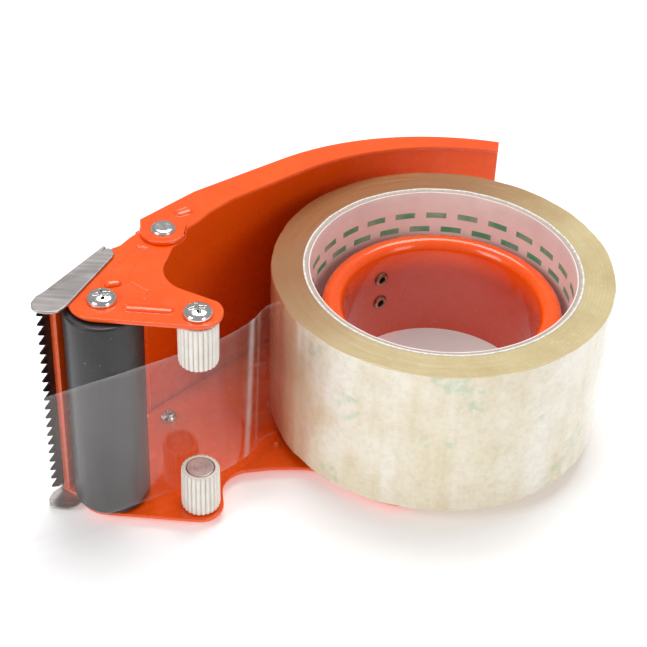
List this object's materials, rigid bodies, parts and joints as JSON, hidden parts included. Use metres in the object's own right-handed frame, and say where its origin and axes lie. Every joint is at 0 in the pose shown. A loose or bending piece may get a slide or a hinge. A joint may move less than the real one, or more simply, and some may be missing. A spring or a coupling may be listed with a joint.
{
  "type": "tape dispenser",
  "caption": "Hand-held steel packing-tape dispenser lying on its side, with a loaded roll, front roller, guide rollers and saw-toothed cutter.",
  "frame": {"origin": "middle of the object in plan, on the plane its lowest screw and rivet heads stand on", "axes": "+Z along the roll axis from the closed side up to the open side; +X from the cutter towards the roll; +Y from the guide rollers towards the grip"},
  "size_m": [0.167, 0.147, 0.0732],
  "materials": {
    "orange_paint": "gloss",
    "rivet_steel": "polished",
    "eyelet_paint": "satin",
    "roller_skin": "gloss",
    "bush_plastic": "matte",
    "shaft_steel": "satin",
    "screw_steel": "polished",
    "guide_plastic": "satin",
    "pin_steel": "satin",
    "blade_black": "satin",
    "cover_steel": "satin",
    "core_board": "matte",
    "liner_paper": "matte",
    "wound_film": "gloss",
    "clear_film": "gloss",
    "scrap_film": "satin"
  },
  "bodies": {
    "frame": {"base_frame": "orange_paint", "handle": "orange_paint", "handle_rivets": "rivet_steel", "hub_ring": "orange_paint", "hub_eyelets": "eyelet_paint", "roller_axle": "shaft_steel", "pan_screws": "screw_steel", "guide_pins": "pin_steel", "cutter_blade": "blade_black", "blade_cover": "cover_steel", "cover_screws": "screw_steel", "cover_nuts": "screw_steel", "tape_strip": "clear_film"},
    "front_roller": {"front_roller": "roller_skin", "roller_bushes": "bush_plastic"},
    "guide_top": {"guide_roller_top": "guide_plastic"},
    "guide_bottom": {"guide_roller_bottom": "guide_plastic"},
    "tape": {"tape_core": "core_board", "core_liner": "liner_paper", "tape_roll": "wound_film", "film_scrap": "scrap_film"}
  },
  "joints": [
    {"name": "tape_spin", "type": "hinge", "parent": "frame", "child": "tape", "pos_m": [0.03451, 0.00552, 0.0303], "axis": [0, 0, 1], "continuous": true},
    {"name": "front_roller_spin", "type": "hinge", "parent": "frame", "child": "front_roller", "pos_m": [-0.05449, -0.04108, 0.0366], "axis": [0, 0, 1], "continuous": true},
    {"name": "guide_bottom_spin", "type": "hinge", "parent": "frame", "child": "guide_bottom", "pos_m": [-0.02919, -0.04428, 0.0107], "axis": [0, 0, 1], "continuous": true},
    {"name": "guide_top_spin", "type": "hinge", "parent": "frame", "child": "guide_top", "pos_m": [-0.02919, -0.04428, 0.0625], "axis": [0, 0, 1], "continuous": true}
  ],
  "couplings": [
    {"joint": "front_roller_spin", "follows": "tape_spin", "ratio": -4.6667},
    {"joint": "guide_bottom_spin", "follows": "tape_spin", "ratio": 8.9091}
  ]
}
